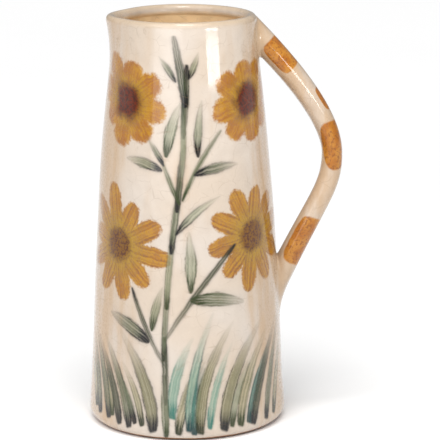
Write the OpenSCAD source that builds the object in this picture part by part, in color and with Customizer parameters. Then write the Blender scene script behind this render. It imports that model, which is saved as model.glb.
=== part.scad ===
// Ceramic pitcher: a tall tapered body on a foot ring, with a rolled rim,
// a small pulled spout and a round loop handle luted to the wall.
// Units are millimetres and +Z is up. The origin is the centre of the foot's
// resting face. The handle is on the +X side and the spout on the -X side.

/* [Body] */
// Overall height, foot to rim
height = 300; // [285:1:315]
// Largest radius of the body, just above the foot
base_r = 72.5; // [69:0.5:76]
// Outer radius of the body under the rim
mouth_r = 53; // [51:0.5:55]
// Thickness of the clay wall
wall_t = 5.5; // [4.5:0.5:6.5]
// Thickness of the clay floor
floor_t = 7; // [5:0.5:9]
// Radius of the rounded edge at the foot
base_round = 8.5; // [6:0.5:10]
// Radius of the inside corner between wall and floor
corner_r = 8; // [4:0.5:12]

/* [Foot] */
// Height of the bare clay foot ring
foot_h = 2; // [1.5:0.25:3]
// Width of the foot's flat resting face
foot_w = 10; // [7:0.5:14]

/* [Rim] */
// Thickness of the rolled rim across the wall
bead_w = 8; // [7:0.25:9]
// Height of the rolled rim
bead_h = 9; // [8:0.5:11]

/* [Spout] */
// How far the lip is pulled out beyond the round mouth
spout_reach = 5; // [3:0.5:7]
// Half of the angle that the spout takes of the mouth
spout_half = 36; // [28:1:42]
// Height of the stretch of wall that flares into the spout
spout_h = 38; // [32:1:44]

/* [Handle] */
// Distance of the handle's centre line from the pitcher's axis at its widest
handle_reach = 107; // [101:1:112]
// Height of that widest point
handle_mid_z = 197; // [190:1:204]
// Depth of the upper joint's centre below the rim
joint_top_drop = 17; // [16:0.5:20]
// Height of the lower joint's centre
joint_low_z = 104; // [98:1:112]
// Downward slope of the handle where it leaves the wall, in degrees
slope_top = 44; // [41:1:47]
// Downward slope of the handle where it comes back to the wall, in degrees
slope_low = 65; // [62:1:68]
// Half thickness of the handle at its upper end
rod_top = 9.5; // [9:0.25:10]
// Half thickness of the handle at its middle
rod_mid = 7.75; // [7:0.25:8.5]
// Half thickness of the handle at its lower end
rod_low = 8.75; // [8:0.25:9.5]
// Width of the handle's section divided by its thickness
rod_oval = 1.15; // [1:0.05:1.3]

/* [Hidden] */

glaze = [0.9, 0.85, 0.76];
bare_clay = [0.5, 0.33, 0.2];
round_fn = 128;
side_steps = 40; // steps along the wall's outline
bead_steps = 14; // steps round the rolled rim
spout_steps = 24; // steps across the spout
rod_sides = 28; // sides of the handle's section
rod_steps = 48; // steps along the handle
fillet_steps = 4; // steps across a luting fillet
root_steps = 24; // halvings when a line is cut at the wall

floor_top = foot_h + floor_t;
bead_base = height - bead_h;
spout_base = height - spout_h;

// The side leans in slowly up to the shoulder and straightens towards the mouth.
side_path = [
    [base_r, base_round],
    [mouth_r + 9.4, 0.82 * height],
    [mouth_r + 1.7, 0.79 * height],
    [mouth_r, height - bead_h / 2]
];

function bezier(p, t) =
    pow(1 - t, 3) * p[0] + 3 * pow(1 - t, 2) * t * p[1]
    + 3 * (1 - t) * t * t * p[2] + pow(t, 3) * p[3];
function bezier_dir(p, t) =
    pow(1 - t, 2) * (p[1] - p[0]) + 2 * (1 - t) * t * (p[2] - p[1])
    + t * t * (p[3] - p[2]);
function unit(v) = v / norm(v);
function reversed(list) = [for (i = [len(list) - 1:-1:0]) list[i]];

// The outer outline of foot edge and side, as [radius, height] points
edge_steps = 12;
foot_edge = [
    for (i = [0:edge_steps])
        let (a = 90 * i / edge_steps)
        [base_r, base_round] - base_round * [1 - sin(a), cos(a)]
];
side = [for (i = [1:side_steps]) bezier(side_path, i / side_steps)];
outline = concat(foot_edge, side);
radius_table = [for (p = outline) [p[1], p[0]]];

// Outer radius of the body at a height
function wall_r(z) = lookup(z, radius_table);

// Points up the outer face between two heights, leaving out near-doubles
function outer_face(low, high) = [
    for (z = concat(
        [low],
        [for (p = outline) if (p[1] > low + 0.3 && p[1] < high - 0.3) p[1]],
        [high]
    )) [wall_r(z), z]
];
function inner_face(low, high) =
    reversed([for (p = outer_face(low, high)) p - [wall_t, 0]]);

// The rolled rim's curve, from the outer face over the top to its inner underside
bead_centre = [mouth_r - bead_w / 2, height - bead_h / 2];
bead_end_angle = 215;
bead_curve = [
    for (i = [0:bead_steps - 1])
        let (a = bead_end_angle * i / (bead_steps - 1))
        bead_centre + [bead_w / 2 * cos(a), bead_h / 2 * sin(a)]
];

module foot_ring() {
    inner_r = base_r - base_round - foot_w;
    color(bare_clay)
        rotate_extrude($fn = round_fn)
            polygon(concat(
                [[inner_r, 0]],
                outer_face(0, foot_h),
                [[inner_r, foot_h]]
            ));
}

module base_slab() {
    color(glaze)
        rotate_extrude($fn = round_fn)
            polygon(concat(
                [[0, foot_h]],
                outer_face(foot_h, floor_top),
                [[0, floor_top]]
            ));
}

module body_wall() {
    corner_top = floor_top + corner_r;
    corner_centre = [wall_r(corner_top) - wall_t - corner_r, corner_top];
    corner = [
        for (a = [-15:-15:-90])
            corner_centre + corner_r * [cos(a), sin(a)]
    ];
    color(glaze)
        difference() {
            rotate_extrude($fn = round_fn)
                polygon(concat(
                    outer_face(floor_top, bead_base),
                    inner_face(corner_top, bead_base),
                    corner
                ));
            translate([0, 0, spout_base])
                linear_extrude(height)
                    polygon([
                        [0, 0],
                        height * [-1, tan(spout_half)],
                        height * [-1, -tan(spout_half)]
                    ]);
        }
}

module rim_bead() {
    color(glaze)
        rotate([0, 0, spout_half - 180])
            rotate_extrude(angle = 360 - 2 * spout_half, $fn = round_fn)
                polygon(concat(
                    [[wall_r(bead_base), bead_base]],
                    bead_curve,
                    [[wall_r(bead_base) - wall_t, bead_base]]
                ));
}

// How far the spout's wall is pushed out, at an angle from its middle and a height
function spout_push(angle, z) =
    spout_reach * pow(cos(90 * angle / spout_half), 2)
    * pow((z - spout_base) / spout_h, 1.8);

module pouring_spout() {
    section = concat(
        outer_face(spout_base, bead_base),
        bead_curve,
        inner_face(spout_base, bead_base)
    );
    n = len(section);
    points = [
        for (i = [0:spout_steps])
            let (a = spout_half * (2 * i / spout_steps - 1))
            for (p = section)
                let (r = p[0] + spout_push(a, p[1]))
                [-r * cos(a), -r * sin(a), p[1]]
    ];
    skin = [
        for (i = [0:spout_steps - 1], k = [0:n - 1])
            let (a = i * n + k, b = i * n + (k + 1) % n)
            each [[a, b, a + n], [b, b + n, a + n]]
    ];
    // Each end is closed by a strip between the section's outer and inner half.
    function end_face(first) = [
        for (k = [0:n / 2 - 2])
            let (a = first + k, b = first + n - 1 - k)
            each [[a, b, a + 1], [b, b - 1, a + 1]]
    ];
    far_end = [for (f = end_face(spout_steps * n)) reversed(f)];
    color(glaze)
        polyhedron(points, concat(skin, end_face(0), far_end), convexity = 4);
}

// The handle's centre line in the XZ plane: down and out from the upper joint to
// the widest point, then down and back in. Both ends start inside the wall.
joint_depth = 18;
dir_top = [cos(slope_top), -sin(slope_top)];
dir_low = [-cos(slope_low), -sin(slope_low)];
joint_top = [wall_r(height - joint_top_drop), height - joint_top_drop];
joint_low = [wall_r(joint_low_z), joint_low_z];
widest = [handle_reach, handle_mid_z];
upper_path = [
    joint_top - joint_depth * dir_top,
    joint_top + 48 * dir_top,
    widest + [0, 20],
    widest
];
lower_path = [
    widest,
    widest - [0, 28],
    joint_low - 65 * dir_low,
    joint_low + joint_depth * dir_low
];

// s runs from 0 to 1 along the upper path and from 1 to 2 along the lower one.
function path_point(s) =
    s < 1 ? bezier(upper_path, s) : bezier(lower_path, s - 1);
function path_dir(s) =
    unit(s < 1 ? bezier_dir(upper_path, s) : bezier_dir(lower_path, s - 1));
function rod_half(s) =
    let (u = s / 2)
    pow(1 - u, 2) * rod_top + 2 * u * (1 - u) * (2 * rod_mid - (rod_top + rod_low) / 2)
    + u * u * rod_low;

// A point on the handle's surface; side angle 0 faces away from the body.
function rod_point(a, s) =
    let (
        c = path_point(s),
        d = path_dir(s),
        h = rod_half(s),
        out = h * cos(a)
    )
    [c[0] - d[1] * out, h * rod_oval * sin(a), c[1] + d[0] * out];

// How far a point stands outside the body's outer face
function stand_off(p) = norm([p[0], p[1]]) - wall_r(p[2]);

// Halves the stretch [inside, outside] until it closes on the wall
function wall_cut(a, inside, outside, n = root_steps) =
    let (mid = (inside + outside) / 2)
    n == 0 ? mid
    : stand_off(rod_point(a, mid)) < 0 ? wall_cut(a, mid, outside, n - 1)
    : wall_cut(a, inside, mid, n - 1);

side_angles = [for (j = [0:rod_sides - 1]) 360 * j / rod_sides];
cut_top = [for (a = side_angles) wall_cut(a, 0, 0.8)];
cut_low = [for (a = side_angles) wall_cut(a, 2, 1.2)];

module handle() {
    rings = [
        for (i = [0:rod_steps], j = [0:rod_sides - 1])
            let (s = cut_top[j] + (cut_low[j] - cut_top[j]) * i / rod_steps)
            rod_point(side_angles[j], s)
    ];
    tips = [
        [joint_top[0], 0, joint_top[1]],
        [joint_low[0], 0, joint_low[1]]
    ];
    top_tip = len(rings);
    last = rod_steps * rod_sides;
    skin = [
        for (i = [0:rod_steps - 1], j = [0:rod_sides - 1])
            let (
                a = i * rod_sides + j,
                b = i * rod_sides + (j + 1) % rod_sides
            )
            each [[a, b, a + rod_sides], [b, b + rod_sides, a + rod_sides]]
    ];
    ends = [
        for (j = [0:rod_sides - 1])
            let (k = (j + 1) % rod_sides)
            each [[top_tip, k, j], [top_tip + 1, last + j, last + k]]
    ];
    color(glaze)
        polyhedron(concat(rings, tips), concat(skin, ends), convexity = 6);
}

// A point on the body's outer face, at an arc length round from +X and a height
function on_wall(arc, z) =
    let (r = wall_r(z), a = arc / r * 180 / PI)
    [r * cos(a), r * sin(a), z];

// A fillet of clay round one joint. cuts: where each side of the handle meets the
// wall. step: the direction away from that wall along the path, in s. spread and
// climb: the fillet's reach on the wall and on the handle, at the side that faces
// away from the body, at the flanks and at the crotch.
module luting(cuts, step, spread, climb) {
    function blend(v, a) =
        v[1] + (v[0] - v[1]) * pow(max(cos(a), 0), 2)
        + (v[2] - v[1]) * pow(max(-cos(a), 0), 2);
    function arc_of(p) = atan2(p[1], p[0]) * PI / 180 * norm([p[0], p[1]]);
    feet = [for (j = [0:rod_sides - 1]) rod_point(side_angles[j], cuts[j])];
    flat = [for (p = feet) [arc_of(p), p[2]]];
    turn = step > 0 ? 1 : -1;
    points = [
        for (j = [0:rod_sides - 1])
            let (
                a = side_angles[j],
                before = flat[(j + rod_sides - 1) % rod_sides],
                after = flat[(j + 1) % rod_sides],
                along = unit(after - before),
                away = turn * [-along[1], along[0]],
                rim = flat[j] + blend(spread, a) * away,
                foot = feet[j],
                low = on_wall(rim[0], rim[1]),
                stretch = norm(rod_point(a, cuts[j] + step) - foot),
                up = rod_point(a, cuts[j] + step * blend(climb, a) / stretch)
            )
            for (k = [0:fillet_steps + 1])
                let (t = k / fillet_steps)
                k > fillet_steps ? foot
                : pow(1 - t, 2) * up + 2 * t * (1 - t) * foot + t * t * low
    ];
    n = fillet_steps + 2;
    quads = [
        for (j = [0:rod_sides - 1], k = [0:n - 1])
            let (
                a = j * n + k,
                b = j * n + (k + 1) % n,
                c = (j + 1) % rod_sides * n + k,
                d = (j + 1) % rod_sides * n + (k + 1) % n
            )
            each [[a, b, c], [b, d, c]]
    ];
    color(glaze)
        polyhedron(
            points,
            turn > 0 ? quads : [for (f = quads) reversed(f)],
            convexity = 6
        );
}

module handle_upper_luting() {
    luting(cut_top, 0.05, spread = [0.5, 5, 4], climb = [2, 6, 4]);
}

module handle_lower_luting() {
    luting(cut_low, -0.05, spread = [11, 7, 3], climb = [16, 9, 3]);
}

foot_ring();
base_slab();
body_wall();
rim_bead();
pouring_spout();
handle();
handle_upper_luting();
handle_lower_luting();
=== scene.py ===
"""A hand-painted ceramic pitcher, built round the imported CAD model.

Every piece stands for one CAD node and keeps its place and size. The pot's skin is
one grid of points that the pieces share, so that the glaze runs over their joints.
Lengths are in millimetres and +Z is up. The spout is at -X, the handle at +X, and
the front, which faces the camera, at -Y.
"""

import math

import bpy
import numpy as np
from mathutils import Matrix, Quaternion, Vector


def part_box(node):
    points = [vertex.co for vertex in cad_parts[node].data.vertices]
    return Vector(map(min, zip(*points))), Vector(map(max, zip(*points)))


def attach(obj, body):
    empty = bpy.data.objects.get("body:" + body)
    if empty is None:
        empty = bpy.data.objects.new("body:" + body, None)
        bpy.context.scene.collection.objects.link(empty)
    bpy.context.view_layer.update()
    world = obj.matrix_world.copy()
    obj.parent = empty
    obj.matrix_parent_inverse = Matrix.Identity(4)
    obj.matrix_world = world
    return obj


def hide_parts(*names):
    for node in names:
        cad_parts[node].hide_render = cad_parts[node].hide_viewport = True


MM = 0.001  # metres in a millimetre

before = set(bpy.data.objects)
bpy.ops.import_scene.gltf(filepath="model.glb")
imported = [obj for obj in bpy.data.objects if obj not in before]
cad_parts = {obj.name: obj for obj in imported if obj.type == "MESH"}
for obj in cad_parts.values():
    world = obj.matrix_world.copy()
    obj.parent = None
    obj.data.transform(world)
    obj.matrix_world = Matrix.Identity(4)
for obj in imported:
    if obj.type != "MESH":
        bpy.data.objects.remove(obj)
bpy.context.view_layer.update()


def node_top(node):
    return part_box(node)[1][2] / MM


def node_bottom(node):
    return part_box(node)[0][2] / MM


# ---- Sizes -------------------------------------------------------------------

FOOT_TOP = node_top("foot_ring")
FLOOR_TOP = node_top("base_slab")
SPOUT_BASE = node_bottom("pouring_spout")
BEAD_BASE = node_bottom("rim_bead")
HEIGHT = node_top("rim_bead")
BASE_R = -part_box("base_slab")[0][0] / MM
MOUTH_R = 53.0
WALL = 5.5
BASE_ROUND = 8.5
FOOT_WIDTH = 10.0
FOOT_INNER = BASE_R - BASE_ROUND - FOOT_WIDTH
CORNER_R = 8.0
BEAD_WIDTH = 8.0
BEAD_HEIGHT = 9.0
BEAD_END = 215  # degrees round the bead where it turns back to the wall
UNDER_BEAD = 22.0  # below the bead the wall thins to its usual width over this height
SPOUT_REACH = 5.0
SPOUT_HALF = 36  # degrees
SPOUT_HEIGHT = HEIGHT - SPOUT_BASE

HANDLE_MID_Z = 197.0
JOINT_TOP_Z = HEIGHT - 17.0
JOINT_LOW_Z = 104.0
SLOPE_TOP = math.radians(44)
SLOPE_LOW = math.radians(65)
ROD_TOP = 9.5
ROD_MID = 7.75
ROD_LOW = 8.75
ROD_OVAL = 1.15
HANDLE_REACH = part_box("handle")[1][0] / MM - ROD_MID
JOINT_DEPTH = 18.0
ROD_SINK = 0.006  # the handle's ends reach this far on into the wall, along its path

# How far a luting reaches over the wall and climbs up the handle: at the side that
# faces away from the body, at the flanks and at the crotch
UPPER_SPREAD = (0.5, 5, 4)
UPPER_CLIMB = (2, 6, 4)
LOWER_SPREAD = (11, 7, 3)
LOWER_CLIMB = (16, 9, 3)
LUTING_LIFT = 0.03  # its edges stand this far proud of the clay they meet
LUTING_SINK = 1.2  # and its hidden side is sunk this deep

WAVE = 0.22  # how unevenly the wall was thrown
COLUMNS = 240  # steps round the pot
SPOUT_COLUMNS = COLUMNS * SPOUT_HALF // 360


# ---- Curves ------------------------------------------------------------------


def bezier(corners, t):
    """Points of the cubic Bezier curve with these corners, at the values t."""
    p = np.array(corners, float)
    t = np.asarray(t, float)[..., None]
    return (
        (1 - t) ** 3 * p[0]
        + 3 * (1 - t) ** 2 * t * p[1]
        + 3 * (1 - t) * t**2 * p[2]
        + t**3 * p[3]
    )


def arc(centre, radii, start, end, steps):
    """Points of an elliptical arc between two angles in degrees."""
    turn = np.radians(np.linspace(start, end, steps))
    return np.column_stack(
        [centre[0] + radii[0] * np.cos(turn), centre[1] + radii[1] * np.sin(turn)]
    )


def ease(value, low, high):
    """0 below low, 1 above high and smooth between."""
    t = np.clip((value - low) / (high - low), 0, 1)
    return t * t * (3 - 2 * t)


def unit(v):
    return v / np.linalg.norm(v, axis=-1, keepdims=True)


# ---- The pot's skin ----------------------------------------------------------

foot_edge = arc((BASE_R - BASE_ROUND, BASE_ROUND), (BASE_ROUND, BASE_ROUND), -90, 0, 14)
side_path = [
    (BASE_R, BASE_ROUND),
    (MOUTH_R + 9.4, 0.82 * HEIGHT),
    (MOUTH_R + 1.7, 0.79 * HEIGHT),
    (MOUTH_R, HEIGHT - BEAD_HEIGHT / 2),
]
outline = np.vstack([foot_edge, bezier(side_path, np.linspace(0, 1, 300)[1:])])


def side_radius(z):
    """Outer radius of the body at a height."""
    return np.interp(z, outline[:, 1], outline[:, 0])


def hand_wave(angle, z):
    """How far the wall dips in from its true outline, as thrown by hand."""
    wave = (
        2.2
        + np.sin(2 * angle + z / 45 + 0.6)
        + 0.7 * np.sin(3 * angle - z / 31 + 2.1)
        + 0.5 * np.sin(angle + z / 14)
    )
    return WAVE * wave * ease(z, FLOOR_TOP, 35)


def spout_push(angle, z):
    """How far the spout's wall is pulled out."""
    from_middle = np.degrees(np.abs(angle - math.pi))
    across = np.cos(np.radians(90 * np.minimum(from_middle / SPOUT_HALF, 1))) ** 2
    up = np.clip((z - SPOUT_BASE) / SPOUT_HEIGHT, 0, 1) ** 1.8
    return SPOUT_REACH * across * up


def rim_dip(angle, z):
    """How far the hand-made rim sinks below its true height."""
    return 0.4 * ease(z, BEAD_BASE - 6, HEIGHT) * (1 + np.sin(2 * angle + 0.9)) / 2


def skin_point(angle, radius, z):
    """A point of the pot, from its angle round the axis and its true outline."""
    r = radius - hand_wave(angle, z) + spout_push(angle, z)
    return np.stack(
        [r * np.cos(angle), r * np.sin(angle), z - rim_dip(angle, z)], axis=-1
    )


def body_point(angle, z):
    """A point on the outer face of the body."""
    return skin_point(angle, side_radius(z), z)


def make_outline():
    """The rows of the skin, from the foot's inner edge up the outside, over the rim,
    down the inside and across the floor, as (radius, height), and named places."""
    heights = np.unique(
        np.concatenate(
            [
                foot_edge[:, 1],
                [FOOT_TOP, FLOOR_TOP],
                np.linspace(FLOOR_TOP, SPOUT_BASE, 72),
                np.linspace(SPOUT_BASE, BEAD_BASE, 10),
                np.linspace(BEAD_BASE, HEIGHT - BEAD_HEIGHT / 2, 4),
            ]
        ).round(6)
    )
    outer = np.column_stack([side_radius(heights), heights])
    foot = [(FOOT_INNER, 0), (FOOT_INNER + FOOT_WIDTH / 2, 0)]
    centre = (MOUTH_R - BEAD_WIDTH / 2, HEIGHT - BEAD_HEIGHT / 2)
    bead = arc(centre, (BEAD_WIDTH / 2, BEAD_HEIGHT / 2), 0, BEAD_END, 22)[1:]
    # Under the bead a narrow groove, and below it the wall thins to its usual width.
    under_z = BEAD_BASE - UNDER_BEAD
    under_r = side_radius(under_z) - WALL
    hollow_path = [
        bead[-1],
        bead[-1] + [1.2, -0.8],
        (bead[-1][0] + 0.9, under_z + 12),
        (under_r, under_z),
    ]
    hollow = bezier(hollow_path, np.linspace(0, 1, 24))[::-1]
    corner_z = FLOOR_TOP + CORNER_R
    inner_z = np.unique(
        np.concatenate(
            [
                [corner_z],
                heights[(heights > corner_z + 1) & (heights <= BEAD_BASE)],
                np.linspace(BEAD_BASE, bead[-1][1], 5)[1:-1],
            ]
        )
    )[::-1]
    inner_r = np.where(
        inner_z > under_z,
        np.interp(inner_z, hollow[:, 1], hollow[:, 0]),
        side_radius(inner_z) - WALL,
    )
    inner = np.column_stack([inner_r, inner_z])
    corner_centre = (side_radius(corner_z) - WALL - CORNER_R, corner_z)
    corner = arc(corner_centre, (CORNER_R, CORNER_R), 0, -90, 10)[1:]
    floor_r = np.linspace(corner_centre[0], 0, 14)[1:-1]
    floor = np.column_stack([floor_r, np.full(len(floor_r), FLOOR_TOP)])
    rows = np.vstack([foot, outer, bead, inner, corner, floor])

    def outer_row(z):
        return len(foot) + int(np.argmin(np.abs(heights - z)))

    first_inner = len(foot) + len(outer) + len(bead)

    def inner_row(z):
        return first_inner + int(np.argmin(np.abs(inner_z - z)))

    places = {
        "foot": 0,
        "foot_top": outer_row(FOOT_TOP),
        "floor_top": outer_row(FLOOR_TOP),
        "spout_base": outer_row(SPOUT_BASE),
        "bead_base": outer_row(BEAD_BASE),
        "bead_turn": len(foot) + len(outer) + 15,  # where it turns down inside
        "bead_end": first_inner,
        "bead_base_in": inner_row(BEAD_BASE),
        "spout_base_in": inner_row(SPOUT_BASE),
        "corner_end": first_inner + len(inner) + len(corner) - 1,
        "last": len(rows) - 1,
    }
    return rows, places


def grid_normals(grid, closed):
    """Normals of a grid of points [row, column]; its columns close if closed is set."""

    def slope(points, axis, wraps):
        ahead = np.roll(points, -1, axis) - points
        behind = points - np.roll(points, 1, axis)
        if not wraps:
            last = [slice(None)] * 3
            last[axis] = -1
            first = [slice(None)] * 3
            first[axis] = 0
            ahead[tuple(last)] = behind[tuple(last)]
            behind[tuple(first)] = ahead[tuple(first)]
        a = np.linalg.norm(ahead, axis=-1, keepdims=True)
        b = np.linalg.norm(behind, axis=-1, keepdims=True)
        return ahead * b / a + behind * a / b

    return unit(np.cross(slope(grid, 1, closed), slope(grid, 0, False)))


rows, place = make_outline()
column_angles = 2 * math.pi * np.arange(COLUMNS) / COLUMNS
skin = skin_point(column_angles[None, :], rows[:, :1], rows[:, 1:] + 0 * column_angles)
skin_normals = grid_normals(skin, closed=True)
ALL_COLUMNS = range(COLUMNS)
SPOUT_START = COLUMNS // 2 - SPOUT_COLUMNS
SPOUT_END = COLUMNS // 2 + SPOUT_COLUMNS
SPOUT_RANGE = range(SPOUT_START, SPOUT_END)
ROUND_RANGE = range(SPOUT_END, SPOUT_START + COLUMNS)


class Shell:
    """A closed piece made of strips between rows of the pot's skin."""

    def __init__(self):
        self.points = {}
        self.places = []
        self.normals = []
        self.inside = []
        self.faces = []
        self.smooth = []
        self.material = []

    def vertex(self, row, column):
        key = (row, column % COLUMNS)
        if key not in self.points:
            self.points[key] = len(self.places)
            self.places.append(skin[key])
            self.normals.append(skin_normals[key])
            self.inside.append(ease(row, place["bead_turn"], place["bead_end"]))
        return self.points[key]

    def extra(self, key, point):
        """A vertex that isn't on the skin."""
        if key not in self.points:
            self.points[key] = len(self.places)
            self.places.append(np.array(point, float))
            self.normals.append(np.array([0, 0, 1.0]))
            self.inside.append(1.0)
        return self.points[key]

    def foot_corner(self, column):
        """The vertex where the foot ring's inner face meets the slab."""
        a = 2 * math.pi * column / COLUMNS
        point = [FOOT_INNER * math.cos(a), FOOT_INNER * math.sin(a), FOOT_TOP]
        return self.extra(("foot_corner", column % COLUMNS), point)

    def face(self, corners, smooth, material=0):
        self.faces.append(corners)
        self.smooth.append(smooth)
        self.material.append(material)

    def strip(self, low, high, columns, smooth, material=0):
        """Faces between two rows, which look away from the clay when the skin goes
        from low to high. A row is a number, or a function of the column."""

        def at(row, column):
            return row(column) if callable(row) else self.vertex(row, column)

        for c in columns:
            corners = [at(low, c), at(low, c + 1), at(high, c + 1), at(high, c)]
            self.face(list(dict.fromkeys(corners)), smooth, material)

    def skin(self, first, last, columns, material=0):
        for row in range(first, last):
            self.strip(row, row + 1, columns, True, material)

    def end(self, column, first, last, forward):
        """The flat face that closes the piece at a column."""
        ring = [self.vertex(row, column) for row in range(first, last + 1)]
        self.face(ring[::-1] if forward else ring, False)


# ---- The handle and its lutings ----------------------------------------------

dir_top = np.array([math.cos(SLOPE_TOP), -math.sin(SLOPE_TOP)])
dir_low = np.array([-math.cos(SLOPE_LOW), -math.sin(SLOPE_LOW)])
joint_top = np.array([side_radius(JOINT_TOP_Z), JOINT_TOP_Z])
joint_low = np.array([side_radius(JOINT_LOW_Z), JOINT_LOW_Z])
widest = np.array([HANDLE_REACH, HANDLE_MID_Z])
upper_path = [
    joint_top - JOINT_DEPTH * dir_top,
    joint_top + 48 * dir_top,
    widest + [0, 20],
    widest,
]
lower_path = [
    widest,
    widest - [0, 28],
    joint_low - 65 * dir_low,
    joint_low + JOINT_DEPTH * dir_low,
]


def path_point(s):
    """The handle's centre line in the XZ plane, from s = 0 at the top to s = 2."""
    s = np.asarray(s, float)[..., None]
    upper = bezier(upper_path, np.minimum(s[..., 0], 1))
    lower = bezier(lower_path, np.maximum(s[..., 0] - 1, 0))
    return np.where(s < 1, upper, lower)


def path_direction(s):
    return unit(path_point(s + 1e-4) - path_point(s - 1e-4))


def rod_half(s):
    """Half the handle's thickness."""
    u = s / 2
    middle = 2 * ROD_MID - (ROD_TOP + ROD_LOW) / 2
    return (1 - u) ** 2 * ROD_TOP + 2 * u * (1 - u) * middle + u**2 * ROD_LOW


def rod_point(side, s):
    """A point on the handle; side angle 0 faces away from the body."""
    side, s = np.broadcast_arrays(np.asarray(side, float), np.asarray(s, float))
    centre = path_point(s)
    d = path_direction(s)
    pinch = 1 - 0.018 * (1 + np.sin(9 * s + 2 * side)) * (1 - np.abs(s - 1)) ** 2
    half = rod_half(s) * pinch
    out = half * np.cos(side)
    return np.stack(
        [
            centre[..., 0] - d[..., 1] * out,
            half * ROD_OVAL * np.sin(side),
            centre[..., 1] + d[..., 0] * out,
        ],
        axis=-1,
    )


def stands_off(point):
    """True where a point is outside the body's outer face."""
    angle = np.arctan2(point[..., 1], point[..., 0])
    z = point[..., 2]
    limit = side_radius(z) - hand_wave(angle, z)
    return np.hypot(point[..., 0], point[..., 1]) > limit


def wall_cut(side, inside, outside):
    """Where on the path each side line of the handle comes out of the wall."""
    near = np.full(np.shape(side), float(inside))
    far = np.full(np.shape(side), float(outside))
    for _ in range(30):
        middle = (near + far) / 2
        out = stands_off(rod_point(side, middle))
        far = np.where(out, middle, far)
        near = np.where(out, near, middle)
    return far


def surface_normal(surface, u, v, step_u, step_v):
    """Normal of surface(u, v) by small steps; it points along du x dv."""
    du = surface(u + step_u, v) - surface(u - step_u, v)
    dv = surface(u, v + step_v) - surface(u, v - step_v)
    return unit(np.cross(du, dv))


def rod_normal(side, s):
    """Points out of the handle's clay."""
    return -surface_normal(rod_point, side, s, 1e-3, 1e-4)


def make_rod(sides=56, steps=150):
    """Points and normals of the handle [ring, side]."""
    side = 2 * math.pi * np.arange(sides) / sides
    first = wall_cut(side, 0, 0.8) - ROD_SINK
    last = wall_cut(side, 2, 1.2) + ROD_SINK
    share = np.linspace(0, 1, steps + 1)[:, None]
    s = first + (last - first) * share
    grid = rod_point(side[None, :] + 0 * s, s)
    return grid, rod_normal(side[None, :] + 0 * s, s)


def luting_grid(inside, outside, spread, climb, sides=72, steps=14):
    """A fillet of clay between handle and wall: its points and normals [step, side],
    the rings of its hidden side, and 1 or -1 for the way its grid faces.

    inside and outside are places on the handle's path in the wall and clear of it."""
    side = 2 * math.pi * np.arange(sides) / sides
    cut = wall_cut(side, inside, outside)
    turn = 1 if outside > inside else -1

    def reach(values):
        away = np.maximum(np.cos(side), 0) ** 2
        crotch = np.maximum(-np.cos(side), 0) ** 2
        return values[1] + (values[0] - values[1]) * away + (values[2] - values[1]) * crotch

    root = rod_point(side, cut)
    radius = np.hypot(root[:, 0], root[:, 1])
    flat = np.column_stack([np.arctan2(root[:, 1], root[:, 0]) * radius, root[:, 2]])
    along = unit(np.roll(flat, -1, 0) - np.roll(flat, 1, 0))
    away = turn * np.column_stack([-along[:, 1], along[:, 0]])
    rim = flat + reach(spread)[:, None] * away
    rim_angle = rim[:, 0] / side_radius(rim[:, 1])
    low = body_point(rim_angle, rim[:, 1])
    low_normal = surface_normal(body_point, rim_angle, rim[:, 1], 1e-3, 0.05)
    step = 0.05 * turn  # a short way along the handle's path
    stretch = np.linalg.norm(rod_point(side, cut + step) - root, axis=1)
    top_s = cut + step * reach(climb) / stretch
    top = rod_point(side, top_s)
    top_normal = rod_normal(side, top_s)
    t = np.linspace(0, 1, steps + 1)[:, None, None]
    curve = (1 - t) ** 2 * top + 2 * t * (1 - t) * root + t**2 * low
    normals = grid_normals(curve, closed=True)
    facing = np.sign(np.sum(normals[0] * top_normal, -1).mean())
    normals = normals * facing
    at_top = ease(t, 0.35, 0)
    at_low = ease(t, 0.65, 1)
    normals = unit(normals * (1 - at_top - at_low) + top_normal * at_top + low_normal * at_low)
    curve = curve + LUTING_LIFT * normals
    hidden = [
        low - LUTING_SINK * low_normal,
        root - LUTING_SINK * top_normal,
        top - LUTING_SINK * top_normal,
    ]
    return curve, normals, hidden, facing


# ---- Making the pieces -------------------------------------------------------


def add_object(name, data):
    """Puts a mesh, a light or a camera into the scene."""
    thing = bpy.data.objects.new(name, data)
    bpy.context.scene.collection.objects.link(thing)
    return thing


def make_piece(name, points, faces, smooth, normals, materials, node,
               face_material=None, inside=None):
    """Adds a mesh whose smooth faces take the given normals, and fits it to a node."""
    mesh = bpy.data.meshes.new(name)
    mesh.from_pydata((np.array(points) * MM).tolist(), [], faces)
    for material in materials:
        mesh.materials.append(material)
    mesh.polygons.foreach_set("use_smooth", smooth)
    if face_material is not None:
        mesh.polygons.foreach_set("material_index", face_material)
    shade = mesh.attributes.new("inside", "FLOAT", "POINT")
    shade.data.foreach_set("value", np.zeros(len(points)) if inside is None else inside)
    loop_normals = [
        tuple(normals[corner]) if soft else (0.0, 0.0, 0.0)
        for face, soft in zip(faces, smooth)
        for corner in face
    ]
    mesh.normals_split_custom_set(loop_normals)
    mesh.validate()
    piece = add_object(name, mesh)
    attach(piece, "root")
    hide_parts(node)
    return piece


def shell_piece(name, shell, materials, node):
    return make_piece(
        name, shell.places, shell.faces, shell.smooth, shell.normals, materials,
        node, shell.material, shell.inside,
    )


def make_foot_ring(materials):
    shell = Shell()
    shell.skin(place["foot"], place["foot_top"], ALL_COLUMNS)
    shell.strip(place["foot_top"], shell.foot_corner, ALL_COLUMNS, False)
    shell.strip(shell.foot_corner, place["foot"], ALL_COLUMNS, False)
    return shell_piece("foot_ring_clay", shell, materials, "foot_ring")


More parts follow.
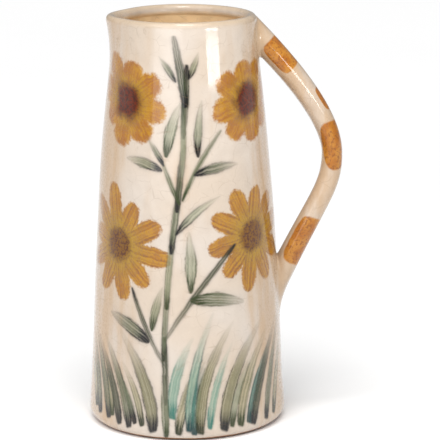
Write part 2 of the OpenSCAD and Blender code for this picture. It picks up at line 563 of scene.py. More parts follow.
def make_floor(materials):
    shell = Shell()
    glazed, bare = 0, 1

    def under_middle(column):
        return shell.extra("under", [0, 0, FOOT_TOP])

    def floor_middle(column):
        return shell.extra("middle", [0, 0, FLOOR_TOP])

    shell.skin(place["foot_top"], place["floor_top"], ALL_COLUMNS, glazed)
    shell.strip(place["floor_top"], place["corner_end"], ALL_COLUMNS, False, glazed)
    shell.skin(place["corner_end"], place["last"], ALL_COLUMNS, glazed)
    shell.strip(place["last"], floor_middle, ALL_COLUMNS, True, glazed)
    shell.strip(under_middle, shell.foot_corner, ALL_COLUMNS, False, bare)
    shell.strip(shell.foot_corner, place["foot_top"], ALL_COLUMNS, False, bare)
    return shell_piece("floor_glazed", shell, materials, "base_slab")


def make_wall(materials):
    shell = Shell()
    outer, inner = 0, 1
    shell.skin(place["floor_top"], place["spout_base"], ALL_COLUMNS, outer)
    shell.skin(place["spout_base"], place["bead_base"], ROUND_RANGE, outer)
    shell.strip(place["bead_base"], place["bead_base_in"], ROUND_RANGE, False)
    shell.strip(place["spout_base"], place["spout_base_in"], SPOUT_RANGE, False)
    shell.skin(place["bead_base_in"], place["spout_base_in"], ROUND_RANGE, inner)
    shell.skin(place["spout_base_in"], place["corner_end"], ALL_COLUMNS, inner)
    shell.strip(place["corner_end"], place["floor_top"], ALL_COLUMNS, False)
    # The narrow upright faces on both sides of the spout
    steps = place["bead_base"] - place["spout_base"]
    for column, forward in ((SPOUT_START, True), (SPOUT_END, False)):
        for k in range(steps):
            out_row = place["spout_base"] + k
            in_row = place["spout_base_in"] - k
            corners = [
                shell.vertex(out_row, column),
                shell.vertex(out_row + 1, column),
                shell.vertex(in_row - 1, column),
                shell.vertex(in_row, column),
            ]
            shell.face(corners[::-1] if forward else corners, False)
    return shell_piece("wall_painted", shell, materials, "body_wall")


def make_rim(materials):
    shell = Shell()
    first, last = place["bead_base"], place["bead_base_in"]
    shell.skin(first, last, ROUND_RANGE)
    shell.strip(last, first, ROUND_RANGE, False)
    shell.end(SPOUT_START, first, last, True)
    shell.end(SPOUT_END, first, last, False)
    return shell_piece("rim_rolled", shell, materials, "rim_bead")


def make_spout(materials):
    shell = Shell()
    first, last = place["spout_base"], place["spout_base_in"]
    shell.skin(first, last, SPOUT_RANGE)
    shell.strip(last, first, SPOUT_RANGE, False)
    shell.end(SPOUT_START, first, last, False)
    shell.end(SPOUT_END, first, last, True)
    return shell_piece("spout_pulled", shell, materials, "pouring_spout")


def make_handle(materials):
    grid, grid_normal = make_rod()
    rings, sides = grid.shape[:2]
    points = list(grid.reshape(-1, 3)) + [grid[0].mean(0), grid[-1].mean(0)]
    normals = list(grid_normal.reshape(-1, 3)) + [np.zeros(3), np.zeros(3)]
    faces = []
    for i in range(rings - 1):
        for j in range(sides):
            k = (j + 1) % sides
            faces.append([i * sides + j, (i + 1) * sides + j, (i + 1) * sides + k, i * sides + k])
    smooth = [True] * len(faces)
    last = (rings - 1) * sides
    for j in range(sides):
        k = (j + 1) % sides
        faces.append([rings * sides, j, k])
        faces.append([rings * sides + 1, last + k, last + j])
    smooth += [False] * (2 * sides)
    return make_piece(
        "handle_loop", points, faces, smooth, normals, materials, "handle"
    )


def make_luting(name, node, materials, inside, outside, spread, climb):
    curve, curve_normals, hidden, facing = luting_grid(inside, outside, spread, climb)
    steps, sides = curve.shape[:2]
    points = list(curve.reshape(-1, 3)) + list(np.array(hidden).reshape(-1, 3))
    normals = list(curve_normals.reshape(-1, 3)) + [np.zeros(3)] * (3 * sides)
    rings = steps + len(hidden)
    faces, smooth = [], []
    for i in range(rings):
        for j in range(sides):
            k, n = (j + 1) % sides, (i + 1) % rings
            corners = [i * sides + j, i * sides + k, n * sides + k, n * sides + j]
            faces.append(corners if facing > 0 else corners[::-1])
            smooth.append(i < steps - 1)
    return make_piece(name, points, faces, smooth, normals, materials, node)


# ---- Colours and node arithmetic ---------------------------------------------


LIGHT = 1.45  # how brightly the studio lights the front of the pitcher
SHINE = 0.04  # and how much white its glaze reflects


def rgb(red, green, blue):
    """The paint that looks like this screen colour, from 0 to 255, in the studio."""

    def paint(c):
        c = c / 255
        seen = c / 12.92 if c <= 0.04045 else ((c + 0.055) / 1.055) ** 2.4
        return max((seen - SHINE) / LIGHT, 0.003)

    return (paint(red), paint(green), paint(blue), 1.0)


class Number:
    """A number in a node tree. Arithmetic on it adds Math nodes."""

    def __init__(self, tree, socket):
        self.tree = tree
        self.socket = socket

    def maths(self, operation, *others):
        node = self.tree.nodes.new("ShaderNodeMath")
        node.operation = operation
        for socket, item in zip(node.inputs, (self, *others)):
            plug(self.tree, item, socket)
        return Number(self.tree, node.outputs[0])

    def __add__(self, other):
        return self.maths("ADD", other)

    def __sub__(self, other):
        return self.maths("SUBTRACT", other)

    def __rsub__(self, other):
        return self.maths("MULTIPLY_ADD", -1.0, other)

    def __mul__(self, other):
        return self.maths("MULTIPLY", other)

    def __truediv__(self, other):
        return self.maths("DIVIDE", other)

    def __pow__(self, other):
        return self.maths("POWER", other)

    def __abs__(self):
        return self.maths("ABSOLUTE")

    def larger(self, other):
        return self.maths("MAXIMUM", other)

    def smaller(self, other):
        return self.maths("MINIMUM", other)

    def ease(self, low, high, start=0.0, end=1.0):
        """start below low, end above high and smooth between."""
        node = self.tree.nodes.new("ShaderNodeMapRange")
        node.interpolation_type = "SMOOTHSTEP"
        node.clamp = False  # smooth steps end level anyway; Cycles has less to hold
        for socket, item in zip(node.inputs, (self, low, high, start, end)):
            plug(self.tree, item, socket)
        return Number(self.tree, node.outputs[0])


def plug(tree, item, socket):
    """Links a node's output to a socket, or sets the socket to a plain value."""
    if isinstance(item, Number):
        item = item.socket
    if isinstance(item, bpy.types.NodeSocket):
        tree.links.new(item, socket)
    else:
        socket.default_value = item


def blended(tree, share, a, b, kind="MIX"):
    """Colour a where share is 0 and colour b where it is 1."""
    node = tree.nodes.new("ShaderNodeMix")
    node.data_type = "RGBA"
    node.blend_type = kind
    plug(tree, share, node.inputs[0])
    plug(tree, a, node.inputs[6])
    plug(tree, b, node.inputs[7])
    return node.outputs[2]


def vector(tree, x, y, z):
    node = tree.nodes.new("ShaderNodeCombineXYZ")
    for socket, item in zip(node.inputs, (x, y, z)):
        plug(tree, item, socket)
    return node.outputs[0]


def split(tree, socket):
    node = tree.nodes.new("ShaderNodeSeparateXYZ")
    tree.links.new(socket, node.inputs[0])
    return [Number(tree, output) for output in node.outputs]


def moved(tree, socket, scale=(1, 1, 1), location=(0, 0, 0)):
    node = tree.nodes.new("ShaderNodeMapping")
    tree.links.new(socket, node.inputs["Vector"])
    node.inputs["Scale"].default_value = scale
    node.inputs["Location"].default_value = location
    return node.outputs[0]


def noise(tree, where, size, detail=2.0):
    """Noise with features of this size in the units of where."""
    node = tree.nodes.new("ShaderNodeTexNoise")
    tree.links.new(where, node.inputs["Vector"])
    node.inputs["Scale"].default_value = 1 / size
    node.inputs["Detail"].default_value = detail
    return Number(tree, node.outputs["Fac"])


def new_material(name):
    material = bpy.data.materials.new(name)
    material.use_nodes = True
    tree = material.node_tree
    tree.nodes.clear()
    return material, tree


def finish_material(tree, colour, roughness, height, distance, **values):
    """Ends a material in one Principled shader with a bump."""
    shader = tree.nodes.new("ShaderNodeBsdfPrincipled")
    for name, value in values.items():
        shader.inputs[name.replace("_", " ")].default_value = value
    plug(tree, colour, shader.inputs["Base Color"])
    plug(tree, roughness, shader.inputs["Roughness"])
    bump = tree.nodes.new("ShaderNodeBump")
    bump.inputs["Distance"].default_value = distance * MM
    plug(tree, height, bump.inputs["Height"])
    tree.links.new(bump.outputs[0], shader.inputs["Normal"])
    output = tree.nodes.new("ShaderNodeOutputMaterial")
    tree.links.new(shader.outputs[0], output.inputs["Surface"])


# ---- The glaze ---------------------------------------------------------------

CREAM = rgb(237, 224, 211)
WARM_CREAM = rgb(233, 216, 198)
PEACH = rgb(216, 180, 140)
CRACK = rgb(160, 135, 110)
RIM_TAN = rgb(222, 200, 174)
# Inside the mouth: a warm tan, partly the glaze's colour and partly painted bounce light from the
# cream glaze round the inside.
INSIDE_TAN_AND_BOUNCE_LIGHT = (0.98, 0.73, 0.43, 1.0)  # paler than it looks, as little light gets in
FOOT_BROWN = rgb(176, 118, 72)

GLAZE = {
    "Specular_IOR_Level": 0.1,
    "Coat_Weight": 1.0,
    "Coat_Roughness": 0.05,
    "Coat_IOR": 1.38,
}


class Surface:
    """The places and the paint of one glaze material while its nodes are made."""

    def __init__(self, name):
        self.material, tree = new_material(name)
        self.tree = tree
        coordinates = tree.nodes.new("ShaderNodeTexCoord")
        self.where = moved(tree, coordinates.outputs["Object"], (1000, 1000, 1000))
        x, y, z = split(tree, self.where)
        self.x, self.y, self.up = x, y, z
        # 0 at the front, growing towards the handle; the back repeats the front
        self.angle = x.maths("ARCTAN2", y * -1.0)
        turned = self.angle.maths("WRAP", math.pi / 2, -math.pi / 2)
        radius = ((x * x) + (y * y)).maths("SQRT")
        self.across = turned * radius
        self.tall = moved(tree, self.where, (1, 1, 0.14))
        self.blotch = noise(tree, self.where, 9, 3)
        self.grain = noise(tree, self.where, 1.6, 2)
        # How far a stroke's edge wanders, and how much darker its paint lies
        self.ragged = self.blotch * 0.5 + self.grain * 0.2 - 0.35
        self.tone = self.blotch * 0.6 - 0.28
        self.paint = None

    def lay(self, share, colour):
        """Paints a colour over what is there."""
        self.paint = blended(self.tree, share, self.paint, colour)


def lay_glaze(surface):
    """The cream glaze: cloudy tone, peach washes, and painted shade that deepens the peach
    towards the left and right edges as seen from the front.
    """
    tree = surface.tree
    cloud = noise(tree, surface.where, 55, 2)
    streak = noise(tree, surface.tall, 7, 3)
    surface.paint = blended(tree, cloud.ease(0.35, 0.65), CREAM, WARM_CREAM)
    wash = noise(tree, moved(tree, surface.where, (1, 1, 0.6), (40, 10, 90)), 38, 2)
    # Painted shade: side grows towards the left and right edges seen from the front and deepens
    # the peach there, as if those edges were in shade; wash and streak are the glaze's own random
    # tone.
    side = abs(surface.across).ease(30, 75)
    peach_wash_and_edge_shade = (wash * 0.6 + streak * 0.5 + side * 0.32).ease(0.56, 0.95)
    surface.lay(peach_wash_and_edge_shade * 0.75, PEACH)


def lay_inside(surface):
    """The thinner, warmer glaze on the rim and inside the mouth; inside, its warm tan is partly
    painted bounce light, the warm light the cream glaze throws round the mouth.
    """
    inside = surface.tree.nodes.new("ShaderNodeAttribute")
    inside.attribute_name = "inside"
    surface.lay(surface.up.ease(HEIGHT - 5, HEIGHT - 1, 0.0, 0.9), RIM_TAN)
    surface.lay(Number(surface.tree, inside.outputs["Fac"]), INSIDE_TAN_AND_BOUNCE_LIGHT)


def lay_foot(surface):
    """A thin brown line where the glaze ends at the foot."""
    line = surface.up + surface.blotch * 2.0
    surface.lay(line.ease(2.6, 4.0, 0.8, 0.0), FOOT_BROWN)


def lay_crackle(surface):
    """The fine net of cracks in the glaze."""
    tree = surface.tree
    bend = noise(tree, surface.where, 14, 2) * 12.0
    across, up = surface.x + bend, surface.up * 1.3 - bend
    cells = tree.nodes.new("ShaderNodeTexVoronoi")
    cells.feature = "DISTANCE_TO_EDGE"
    cells.inputs["Scale"].default_value = 1 / 14
    tree.links.new(vector(tree, across, surface.y, up), cells.inputs["Vector"])
    edge = Number(tree, cells.outputs["Distance"])
    surface.crack = edge.ease(0.0, 0.03, 1.0, 0.0) * surface.blotch.ease(0.42, 0.62)
    surface.lay(surface.crack * 0.22, CRACK)


def finish_glaze(surface, painted=None):
    """Gives a glaze its cracks, its gloss and its slightly uneven face."""
    tree = surface.tree
    lay_crackle(surface)
    swell = noise(tree, surface.where, 13, 1)
    height = swell * 4.0 + surface.grain * 0.03 - surface.crack * 0.05
    if painted is not None:
        height = height + painted * 0.15
    rough = surface.grain * 0.12 + 0.22
    finish_material(tree, surface.paint, rough, height, 0.35, **GLAZE)


# ---- The painting ------------------------------------------------------------

LEAF = (0.6, 0.8)  # how a stroke widens from its base and narrows to its tip
BLADE = (0.22, 0.5)
STEM = (0.25, 0.3)

SAGE = rgb(154, 156, 126)
PALE_SAGE = rgb(176, 178, 152)
GREY_GREEN = rgb(124, 130, 104)
DARK_SAGE = rgb(76, 84, 62)
NIGHT = rgb(44, 52, 42)
OLIVE = rgb(150, 146, 110)
STRAW = rgb(178, 170, 136)
DEEP_OLIVE = rgb(70, 74, 52)
MINT = rgb(150, 180, 160)
TEAL = rgb(84, 134, 122)
DEEP_TEAL = rgb(34, 84, 84)

# The strokes: from (across, up) to (across, up), width, bulge to the left, colours
STEM_STROKES = [
    ((-15.5, 1), (-16.5, 50), 6.6, 0.3, GREY_GREEN, DARK_SAGE),
    ((-16.5, 78), (-16, 26), 6.0, 0.4, DARK_SAGE, NIGHT),
    ((-17, 58), (-13, 118), 5.2, 0.5, GREY_GREEN, DEEP_OLIVE),
    ((-14.5, 96), (-8.5, 156), 5.8, 0.8, SAGE, DARK_SAGE),
    ((-11, 136), (-3, 190), 6.0, 0.5, GREY_GREEN, NIGHT),
    ((-6.5, 166), (-0.5, 216), 5.8, 0.4, DARK_SAGE, NIGHT),
    ((-1.5, 246), (-2.5, 190), 5.0, 0.6, SAGE, DARK_SAGE),
    ((1.5, 272), (-1.5, 218), 6.0, 0.4, DARK_SAGE, NIGHT),
]
TWIG_STROKES = [
    ((0.5, 240), (-8, 292), 7.0, -0.6, DARK_SAGE, NIGHT),
    ((-42, 112), (-16, 55), 4.8, -1.5, DARK_SAGE, NIGHT),
    ((38, 143), (-17, 72), 5.2, -3.0, DARK_SAGE, NIGHT),
    ((-4, 172), (-17, 204), 4.2, 0.5, GREY_GREEN, DARK_SAGE),
    ((-3, 174), (27, 225), 4.6, 2.5, GREY_GREEN, DARK_SAGE),
]
LEAF_STROKES = [
    ((-6, 258), (-19, 277), 5.6, -0.6, GREY_GREEN, NIGHT),
    ((2, 260), (10, 280), 5.6, -0.6, SAGE, NIGHT),
    ((-14, 205), (-3, 245), 9.0, 1.5, PALE_SAGE, DARK_SAGE),
    ((9, 205), (12, 247), 7.0, 1.2, PALE_SAGE, NIGHT),
    ((-15, 199), (-28, 219), 5.0, -0.6, GREY_GREEN, NIGHT),
    ((-16, 196), (-47, 203), 8.4, -1.8, SAGE, NIGHT),
    ((5, 193), (41, 199), 8.6, 2.0, GREY_GREEN, NIGHT),
    ((-8, 150), (26, 178), 6.8, 3.0, PALE_SAGE, NIGHT),
    ((3, 108), (2, 154), 9.0, -0.8, PALE_SAGE, DARK_SAGE),
    ((-26, 80), (-17, 114), 7.4, 1.0, SAGE, DARK_SAGE),
    ((-27, 72), (-64, 90), 11.5, -2.2, GREY_GREEN, NIGHT),
    ((2, 104), (45, 99), 11.0, 2.0, GREY_GREEN, DARK_SAGE),
]
GRASS_STROKES = [
    ((-84, 14), (-100, 66), 8.0, -2.5, STRAW, DEEP_OLIVE),
    ((-78, 10), (-93, 74), 8.5, -3.0, GREY_GREEN, NIGHT),
    ((-66, 9), (-88, 78), 9.0, -4.0, GREY_GREEN, NIGHT),
    ((-62, 12), (-72, 60), 6.5, -2.5, STRAW, DARK_SAGE),
    ((-54, 7), (-80, 70), 8.5, -4.5, DARK_SAGE, NIGHT),
    ((-45, 6), (-72, 74), 9.0, -5.0, GREY_GREEN, NIGHT),
    ((-40, 10), (-58, 50), 6.5, -2.5, GREY_GREEN, NIGHT),
    ((-34, 9), (-52, 56), 6.5, -3.5, STRAW, DEEP_OLIVE),
    ((-25, 5), (-54, 80), 11.0, -7.0, OLIVE, NIGHT),
    ((-11, 16), (5, 78), 8.5, 5.0, MINT, TEAL),
    ((-7, 4), (16, 66), 8.0, 4.5, STRAW, DEEP_OLIVE),
    ((1, 6), (20, 96), 8.0, 5.0, MINT, DEEP_TEAL),
    ((5, 4), (14, 60), 7.5, 3.0, TEAL, DEEP_TEAL),
    ((9, 4), (36, 88), 9.0, 8.0, OLIVE, DEEP_OLIVE),
    ((16, 8), (34, 72), 6.5, 3.5, MINT, TEAL),
    ((27, 5), (62, 84), 10.5, 9.0, OLIVE, NIGHT),
    ((33, 8), (52, 62), 6.5, 3.5, PALE_SAGE, DARK_SAGE),
    ((40, 7), (70, 78), 9.0, 7.0, STRAW, DARK_SAGE),
    ((48, 8), (76, 70), 8.5, 5.0, TEAL, DEEP_TEAL),
    ((52, 6), (84, 82), 8.5, 5.5, DARK_SAGE, NIGHT),
    ((66, 7), (90, 84), 8.0, 4.0, GREY_GREEN, NIGHT),
    ((76, 9), (96, 72), 7.5, 2.5, STRAW, DEEP_OLIVE),
]

STROKE_NUMBERS = [
    "Across", "Up", "Ragged", "Tone", "Along Across", "Along Up", "Along Start",
    "Off Across", "Off Up", "Off Start", "Half Width", "Bulge", "Grow", "Shrink",
    "Fullness", "Softness", "Pool", "Fade", "Body", "Seed",
]


def make_stroke_group():
    """The node group that lays one stroke of thin paint over a colour. The paint is
    darker at the stroke's edges and where the brush was set down, thins out at its
    tip and bleeds a little into the glaze. The order of the nodes keeps few numbers
    waiting, as Cycles can't hold many at once."""
    tree = bpy.data.node_groups.new("brush_stroke", "ShaderNodeTree")
    for name in STROKE_NUMBERS:
        tree.interface.new_socket(name, in_out="INPUT", socket_type="NodeSocketFloat")
    for name in ("Under", "Light", "Dark"):
        tree.interface.new_socket(name, in_out="INPUT", socket_type="NodeSocketColor")
    tree.interface.new_socket("Paint", in_out="OUTPUT", socket_type="NodeSocketColor")
    given = tree.nodes.new("NodeGroupInput").outputs
    value = {name: Number(tree, given[name]) for name in STROKE_NUMBERS}

    def ramp(kind):
        """A number that grows evenly in one direction over the pot's face."""
        start = value["Up"].maths("MULTIPLY_ADD", value[kind + " Up"], value[kind + " Start"])
        return value["Across"].maths("MULTIPLY_ADD", value[kind + " Across"], start)

    t = ramp("Along").larger(0.0).smaller(1.0)
    off = ramp("Off")
    rest = 1.0 - t
    off = off - t * rest * value["Bulge"]
    room = (t ** value["Grow"]) * (rest ** value["Shrink"]) * value["Fullness"]
    depth = room - abs(off) + value["Ragged"]
    ends = (t * rest).ease(0.0, 0.03)
    cover = depth.ease(-0.1, value["Softness"]) * 0.84
    cover = cover + depth.ease(-0.7, 0.3) * 0.16
    cover = cover * ends
    bristles = tree.nodes.new("ShaderNodeTexNoise")
    bristles.noise_dimensions = "1D"
    bristles.inputs["Scale"].default_value = 0.7
    lane = off * value["Half Width"] + value["Seed"] + value["Ragged"] * 5.0
    tree.links.new(lane.socket, bristles.inputs["W"])
    mark = Number(tree, bristles.outputs["Fac"]).ease(0.3, 0.7)
    edge = depth.ease(0.0, 0.55, 0.75, 0.0)
    pool = t.ease(0.0, value["Pool"], 1.1, 0.0)
    shade = (edge + pool + mark * 0.3 + value["Tone"]).smaller(1.0)
    tip = t.ease(0.45, 1.0) * value["Fade"]
    dry = mark.ease(0.0, 0.7, 0.8, 1.0)
    body = shade.ease(0.0, 1.0, value["Body"], 1.0) * dry.larger(1.0 - t)
    amount = cover * (1.0 - tip) * body
    paint = blended(tree, shade, given["Light"], given["Dark"])
    result = tree.nodes.new("NodeGroupOutput")
    tree.links.new(blended(tree, amount, given["Under"], paint), result.inputs["Paint"])


def brush_stroke(surface, stroke, shape, fade, body):
    """One brush stroke. shape is how its width grows from the base and shrinks to the
    tip, fade how much paint is gone at the tip, body how much the middle covers."""
    (x0, z0), (x1, z1), width, bulge, light, dark = stroke
    dx, dz = x1 - x0, z1 - z0
    length = math.hypot(dx, dz)
    half = width / 2
    grow, shrink = shape
    widest = grow / (grow + shrink)
    node = surface.tree.nodes.new("ShaderNodeGroup")
    node.node_tree = bpy.data.node_groups["brush_stroke"]
    values = {
        "Across": surface.across,
        "Up": surface.up,
        "Ragged": surface.ragged,
        "Tone": surface.tone,
        "Along Across": dx / length**2,
        "Along Up": dz / length**2,
        "Along Start": -(x0 * dx + z0 * dz) / length**2,
        "Off Across": -dz / (length * half),
        "Off Up": dx / (length * half),
        "Off Start": (x0 * dz - z0 * dx) / (length * half),
        "Half Width": half,
        "Bulge": 4 * bulge / half,
        "Grow": grow,
        "Shrink": shrink,
        "Fullness": 1 / (widest**grow * (1 - widest) ** shrink),
        "Softness": min(0.6, 1.4 / half),
        "Pool": min(0.5, 18 / length),
        "Fade": fade,
        "Body": body,
        "Seed": x0 * 3.1 + z0 * 1.7 + 500.0,
        "Under": surface.paint,
        "Light": light,
        "Dark": dark,
    }
    for name, value in values.items():
        plug(surface.tree, value, node.inputs[name])
    surface.paint = node.outputs["Paint"]


GOLD = rgb(204, 150, 62)
OCHRE = rgb(184, 126, 42)
AMBER = rgb(184, 122, 34)
HONEY = rgb(206, 150, 58)
LIME = rgb(180, 152, 66)
SIENNA = rgb(140, 92, 38)
BURNT = rgb(156, 96, 32)
UMBER = rgb(122, 64, 20)
BARK = rgb(86, 36, 10)
MOSS = rgb(146, 104, 36)
DARK_MOSS = rgb(104, 70, 22)


def blossom_place(surface, side, centre, shift, rough):
    """Where a point is from the nearest blossom's centre, across and up, with the
    wobble of a hand-held brush."""
    tree = surface.tree
    other = moved(tree, surface.where, location=(90, 40, 70))
    shift_x = (noise(tree, surface.where, 9, 3) - 0.5) * (rough * 3.0)
    shift_y = (noise(tree, other, 9, 3) - 0.5) * (rough * 3.0)
    x = surface.across - side * centre[0] - shift[0] + shift_x
    y = surface.up - side * shift[1] - centre[1] + shift_y
    return x, y


def lay_heart(surface, far, rough, colours):
    """The speckled heart of the blossoms; far is the distance from their centres."""
    light, dark = colours
    core = far / (surface.grain * 3.0 + surface.blotch * 3.0 + 9.0)
    speck = surface.grain.ease(0.4, 0.62)
    paint = blended(surface.tree, speck, light, dark)
    surface.lay(core.ease(0.7, 1.1 + 0.15 * rough, 0.95, 0.0), paint)


def blossom_row(surface, centre, shift, petals, reach, width, rough, colours, lines):
    """A pair of blossoms, one on each side of the stem.

    centre is the place of the right one for a mirrored pair. shift moves both to the
    right, and the right one up and the left one down. reach and width are a petal's
    length and width, rough is how ragged the brushwork is, and lines how strongly the
    brush marks show. Returns where the petals' paint lies."""
    tree = surface.tree
    light, mid, rim_colour, heart = colours
    side = surface.across.maths("SIGN")
    x, y = blossom_place(surface, side, centre, shift, rough)
    far = ((x * x) + (y * y)).maths("SQRT")
    # The petal's number, and how far off its middle line the point is, from -0.5 to 0.5
    turn = y.maths("ARCTAN2", x) * (petals / (2 * math.pi)) + side * 0.21 + petals
    number = turn.maths("FLOOR").maths("WRAP", petals * 1.0, 0.0)
    off = turn.maths("FRACT") - 0.5
    chance = tree.nodes.new("ShaderNodeTexWhiteNoise")
    chance.noise_dimensions = "1D"
    plug(tree, number + side * 20.3, chance.inputs["W"])
    luck = Number(tree, chance.outputs["Value"])
    length = luck * (0.3 * reach) + 0.8 * reach
    out = far / length
    sideways = off * far * (2 * math.pi / petals)
    lateral = sideways * (2 / width)
    tip = (out - 0.5).larger(0.0) / 0.5
    square = tip * tip
    depth = (1.0 - lateral * lateral - square * square).smaller(1.0)
    depth = depth.larger((1.0 - out / 0.6) * 2.2)
    sponge = surface.grain * 0.7 - 0.35
    cover = (depth + sponge).ease(0.0, 0.26 + 0.14 * rough)
    brush = tree.nodes.new("ShaderNodeTexNoise")
    brush.noise_dimensions = "1D"
    brush.inputs["Scale"].default_value = 0.55
    brush.inputs["Detail"].default_value = 1.0
    lane = sideways + surface.blotch * 1.5 + number * 31.0 + side * 400.0
    plug(tree, lane, brush.inputs["W"])
    streak = Number(tree, brush.outputs["Fac"])
    broken = surface.grain.ease(0.42, 0.6, 0.15, 1.0)
    mark = streak.ease(0.5, 0.64) * broken * out.ease(0.2, 0.5)
    rim = depth.ease(0.0, 0.4, 1.0, 0.0) * out.ease(0.45, 0.8)
    cloudy = surface.blotch * (0.85 - 0.5 * lines) + streak * (0.15 + 0.5 * lines)
    paint = blended(tree, cloudy.ease(0.38, 0.6), light, mid)
    paint = blended(tree, out.ease(0.25, 0.75, 0.55, 0.0), paint, LIME)
    fleck = surface.grain.ease(0.5, 0.66, 0.0, 0.4)
    paint = blended(tree, (rim * 0.45).larger(mark * lines).larger(fleck), paint, rim_colour)
    surface.lay(cover * (1.0 - surface.grain * 0.12), paint)
    lay_heart(surface, far, rough, heart)
    return cover


def painted_glaze():
    surface = Surface("glaze_painted")
    lay_glaze(surface)
    make_stroke_group()
    for stroke in GRASS_STROKES:
        brush_stroke(surface, stroke, BLADE, 0.9, 0.88)
    upper = blossom_row(
        surface, (48.5, 243), (2.5, 0), 8, 35, 25, 2.2,
        (HONEY, AMBER, BURNT, (UMBER, BARK)), 0.25,
    )
    lower = blossom_row(
        surface, (54, 143), (-0.5, 3), 10, 42, 17, 1.1,
        (GOLD, OCHRE, SIENNA, (MOSS, DARK_MOSS)), 0.75,
    )
    for stroke in STEM_STROKES:
        brush_stroke(surface, stroke, STEM, 0.4, 0.9)
    for stroke in TWIG_STROKES:
        brush_stroke(surface, stroke, STEM, 0.3, 0.9)
    for stroke in LEAF_STROKES:
        brush_stroke(surface, stroke, LEAF, 0.7, 0.86)
    lay_inside(surface)
    lay_foot(surface)
    finish_glaze(surface, upper.larger(lower))
    return surface.material


def inside_glaze():
    surface = Surface("glaze_inside")
    lay_glaze(surface)
    # Painted bounce light: this warm tan over the whole inside partly stands for light bounced
    # round the mouth by the cream glaze.
    surface.lay(1.0, INSIDE_TAN_AND_BOUNCE_LIGHT)
    surface.lay(surface.blotch.ease(0.45, 0.75, 0.0, 0.2), PEACH)
    finish_glaze(surface)
    return surface.material


HANDLE_PATCHES = [
    # place along the handle, how far outwards, half length, half width
    (0.21, 4.0, 13.5, 9.0),
    (0.53, 10.0, 10.0, 4.5),
    (0.90, 2.0, 18.5, 9.0),
    (1.74, 2.5, 19.0, 9.0),
]
PATCH_OCHRE = rgb(214, 148, 72)
PATCH_ORANGE = rgb(196, 124, 50)
PATCH_DARK = rgb(158, 100, 46)


def handle_glaze():
    surface = Surface("glaze_handle")
    lay_glaze(surface)
    tree = surface.tree
    for s, outward, half_length, half_width in HANDLE_PATCHES:
        centre = path_point(s)
        direction = path_direction(np.array(s))
        x = surface.x - float(centre[0])
        z = surface.up - float(centre[1])
        along = (x * float(direction[0]) + z * float(direction[1])) / half_length
        out = (z * float(direction[0]) - x * float(direction[1]) - outward) / half_width
        along, out = along * along, out * out
        far = along * along + out * out + surface.blotch * 0.7 - 0.35
        cover = far.ease(0.75, 1.1, 1.0, 0.0)
        paint = blended(tree, surface.blotch.ease(0.35, 0.6), PATCH_OCHRE, PATCH_ORANGE)
        paint = blended(tree, surface.grain.ease(0.5, 0.66, 0.0, 0.8), paint, PATCH_DARK)
        surface.lay(cover * 0.95, paint)
    finish_glaze(surface)
    return surface.material


def bare_clay():
    """Bare fired clay, brown and gritty."""
    material, tree = new_material("clay_bare")
    coordinates = tree.nodes.new("ShaderNodeTexCoord")
    where = moved(tree, coordinates.outputs["Object"], (1000, 1000, 1000))
    blotch = noise(tree, where, 12, 3)
    grit = noise(tree, where, 0.8, 3)
    colour = blended(tree, blotch.ease(0.35, 0.65), rgb(176, 126, 88), rgb(148, 100, 66))
    colour = blended(tree, grit.ease(0.6, 0.72) * 0.6, colour, rgb(60, 40, 28))
    rough = grit * 0.2 + 0.7
    finish_material(tree, colour, rough, grit, 0.15)
    return material


# ---- The studio --------------------------------------------------------------


def make_stage():
    mesh = bpy.data.meshes.new("studio_floor")
    half = 9.0  # metres
    corners = [(-half, -half, 0), (half, -half, 0), (half, half, 0), (-half, half, 0)]
    mesh.from_pydata(corners, [], [(0, 1, 2, 3)])
    floor = add_object("studio_floor", mesh)
    material, tree = new_material("studio_white")
    coordinates = tree.nodes.new("ShaderNodeTexCoord")
    shade = noise(tree, coordinates.outputs["Object"], 0.4, 2)
    colour = blended(tree, shade, (0.97, 0.97, 0.97, 1.0), (0.95, 0.95, 0.95, 1.0))
    finish_material(tree, colour, 0.8, shade, 0.0)
    mesh.materials.append(material)


def softbox(name, azimuth, distance, height, aim, width, tall, radiance):
    """A rectangular light at a height, turned towards a height on the pitcher's axis;
    azimuth 0 is behind the camera and grows to the right."""
    a = math.radians(azimuth)
    place_xyz = Vector((distance * math.sin(a), -distance * math.cos(a), height))
    data = bpy.data.lights.new(name, "AREA")
    data.shape = "RECTANGLE"
    data.size = width
    data.size_y = tall
    data.energy = radiance * math.pi * width * tall
    light = add_object(name, data)
    light.location = place_xyz
    light.rotation_mode = "QUATERNION"
    light.rotation_quaternion = (place_xyz - Vector((0, 0, aim))).to_track_quat("Z", "Y")


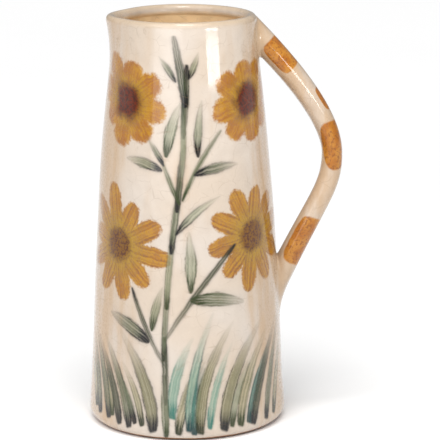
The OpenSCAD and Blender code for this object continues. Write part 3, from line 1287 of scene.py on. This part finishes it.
def make_lights():
    world = bpy.data.worlds.new("studio_air")
    bpy.context.scene.world = world
    world.use_nodes = True
    background = world.node_tree.nodes["Background"]
    background.inputs["Color"].default_value = (1.0, 1.0, 1.0, 1.0)
    background.inputs["Strength"].default_value = 0.3
    # A broad window at the left, a small one with two panes at the right, and a lamp
    # over the mouth that lights the inside
    softbox("broad_left", -24, 0.60, 0.31, 0.31, 0.48, 0.26, 2.6)
    softbox("window_upper", 41, 0.42, 0.330, 0.28, 0.10, 0.043, 15.0)
    softbox("window_lower", 41, 0.42, 0.284, 0.28, 0.14, 0.037, 15.0)
    softbox("mouth_fill", 0, 0.12, 0.62, 0.29, 0.10, 0.10, 15.0)
    data = bpy.data.lights.new("overhead", "SUN")
    data.energy = 2.75
    data.angle = math.radians(70)
    overhead = add_object("overhead", data)
    overhead.location = (-0.3, -1, 2)
    overhead.rotation_mode = "QUATERNION"
    overhead.rotation_quaternion = overhead.location.to_track_quat("Z", "Y")


CAMERA_PLACE = (0, -1.7, 0.537)
CAMERA_AIM = (0.025, 0, 0.147)
CAMERA_LENS = 194.5
CAMERA_ROLL = -0.3  # degrees


def make_camera():
    data = bpy.data.cameras.new("camera")
    data.sensor_width = 36
    data.lens = CAMERA_LENS
    camera = add_object("camera", data)
    camera.location = CAMERA_PLACE
    look = Vector(CAMERA_AIM) - camera.location
    roll = Quaternion((0, 0, 1), math.radians(CAMERA_ROLL))
    camera.rotation_mode = "QUATERNION"
    camera.rotation_quaternion = look.to_track_quat("-Z", "Y") @ roll
    bpy.context.scene.camera = camera


# ---- Building ----------------------------------------------------------------

make_camera()
make_lights()
make_stage()
bpy.context.scene.view_settings.view_transform = "Standard"

painted = painted_glaze()
inside = inside_glaze()
clay = bare_clay()
handle = handle_glaze()

make_foot_ring([clay])
make_floor([painted, clay])
make_wall([painted, inside])
make_rim([painted])
make_spout([painted])
make_handle([handle])
make_luting(
    "luting_upper", "handle_upper_luting", [handle], 0, 0.8, UPPER_SPREAD, UPPER_CLIMB
)
make_luting(
    "luting_lower", "handle_lower_luting", [handle], 2, 1.2, LOWER_SPREAD, LOWER_CLIMB
)
